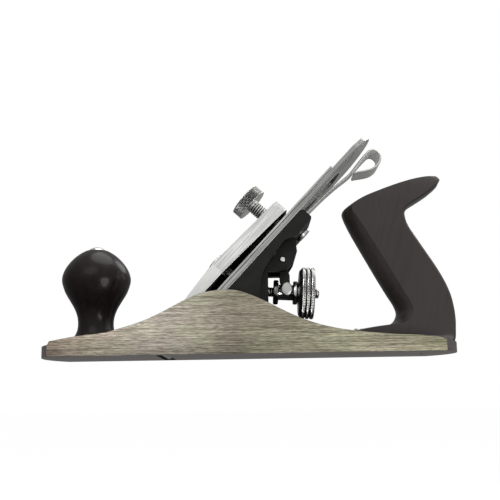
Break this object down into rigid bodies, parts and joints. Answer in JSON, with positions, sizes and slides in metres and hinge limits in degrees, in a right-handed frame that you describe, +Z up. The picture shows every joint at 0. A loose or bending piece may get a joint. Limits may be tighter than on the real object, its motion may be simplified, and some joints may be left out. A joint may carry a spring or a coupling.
{
  "type": "bench hand plane",
  "caption": "Metal smoothing plane with steep bedded frog, screw depth wheel, lateral lever, thumbscrew lever cap, dark knob and tote.",
  "frame": {"origin": "middle of the sole's underside, halfway along its length and its width", "axes": "+X towards the heel and the tote, +Y across the sole, +Z up out of the work"},
  "size_m": [0.246, 0.062, 0.1341],
  "materials": {
    "body_iron": "machined and brushed grey, fine lines along the cheeks",
    "blade_steel": "ground tool steel, satin",
    "nickel": "nickel plate, satin to bright",
    "bright_steel": "plain turned or pressed steel",
    "frog_black": "black enamel on a casting, satin",
    "grip_wood": "very dark brown hardwood under gloss lacquer"
  },
  "bodies": {
    "plane_body": {"base_casting": "body_iron", "front_knob": "grip_wood", "knob_bolt": "bright_steel", "knob_nut": "nickel", "tote": "grip_wood", "tote_bolt": "bright_steel", "tote_nut": "nickel", "tote_toe_screw": "nickel", "frog": "frog_black", "frog_screw_left": "bright_steel", "frog_screw_right": "bright_steel", "frog_washer_left": "bright_steel", "frog_washer_right": "bright_steel", "lever_cap": "nickel", "lever_cap_screw": "bright_steel", "lateral_rivet": "bright_steel", "yoke_pin": "bright_steel", "adjuster_stud": "bright_steel"},
    "spool": {"adjuster_spool": "bright_steel"},
    "wheel": {"adjuster_wheel": "nickel"},
    "yoke": {"yoke": "frog_black"},
    "iron_clamp": {"cap_iron_screw": "bright_steel"},
    "iron_pack": {"iron": "blade_steel", "cap_iron": "blade_steel"},
    "lateral": {"lateral_lever": "nickel", "lateral_roller": "bright_steel"},
    "pad": {"thumbscrew_pad": "bright_steel"},
    "thumbscrew": {"thumbscrew": "nickel"}
  },
  "joints": [
    {"name": "spool_travel", "type": "slide", "parent": "plane_body", "child": "spool", "axis": [0.9986, 0, -0.0523], "range_m": [-0.00152, 0.00252]},
    {"name": "adjuster_wheel_turn", "type": "hinge", "parent": "spool", "child": "wheel", "pos_m": [0.03518, 0, 0.03731], "axis": [0.9986, 0, -0.0523], "range_deg": [-900, 540]},
    {"name": "yoke_swing", "type": "hinge", "parent": "plane_body", "child": "yoke", "pos_m": [0.02016, 0, 0.05603], "axis": [0, 1, 0], "range_deg": [-8.1, 4.9]},
    {"name": "iron_depth", "type": "slide", "parent": "plane_body", "child": "iron_clamp", "axis": [-0.682, 0, -0.7314], "range_m": [-0.00117, 0.00196]},
    {"name": "iron_tilt", "type": "hinge", "parent": "iron_clamp", "child": "iron_pack", "pos_m": [0.00374, 0, 0.05441], "axis": [-0.7314, 0, 0.682], "range_deg": [-1.02, 1.02]},
    {"name": "lateral_lever_swing", "type": "hinge", "parent": "plane_body", "child": "lateral", "pos_m": [0.02853, 0, 0.07806], "axis": [-0.7314, 0, 0.682], "range_deg": [-6.5, 6.5]},
    {"name": "pad_travel", "type": "slide", "parent": "plane_body", "child": "pad", "axis": [-0.7314, 0, 0.682], "range_m": [0, 0.00125]},
    {"name": "thumbscrew_turn", "type": "hinge", "parent": "pad", "child": "thumbscrew", "pos_m": [0.00766, 0, 0.08795], "axis": [-0.7314, 0, 0.682], "range_deg": [0, 360]}
  ],
  "couplings": [
    {"joint": "adjuster_wheel_turn", "follows": "iron_depth", "rad_per_m": -7999.2},
    {"joint": "spool_travel", "follows": "iron_depth", "ratio": 1.2731},
    {"joint": "yoke_swing", "follows": "iron_depth", "rad_per_m": -71.124},
    {"joint": "iron_tilt", "follows": "lateral_lever_swing", "ratio": -0.15385},
    {"joint": "thumbscrew_turn", "follows": "pad_travel", "rad_per_m": 5026.5}
  ]
}
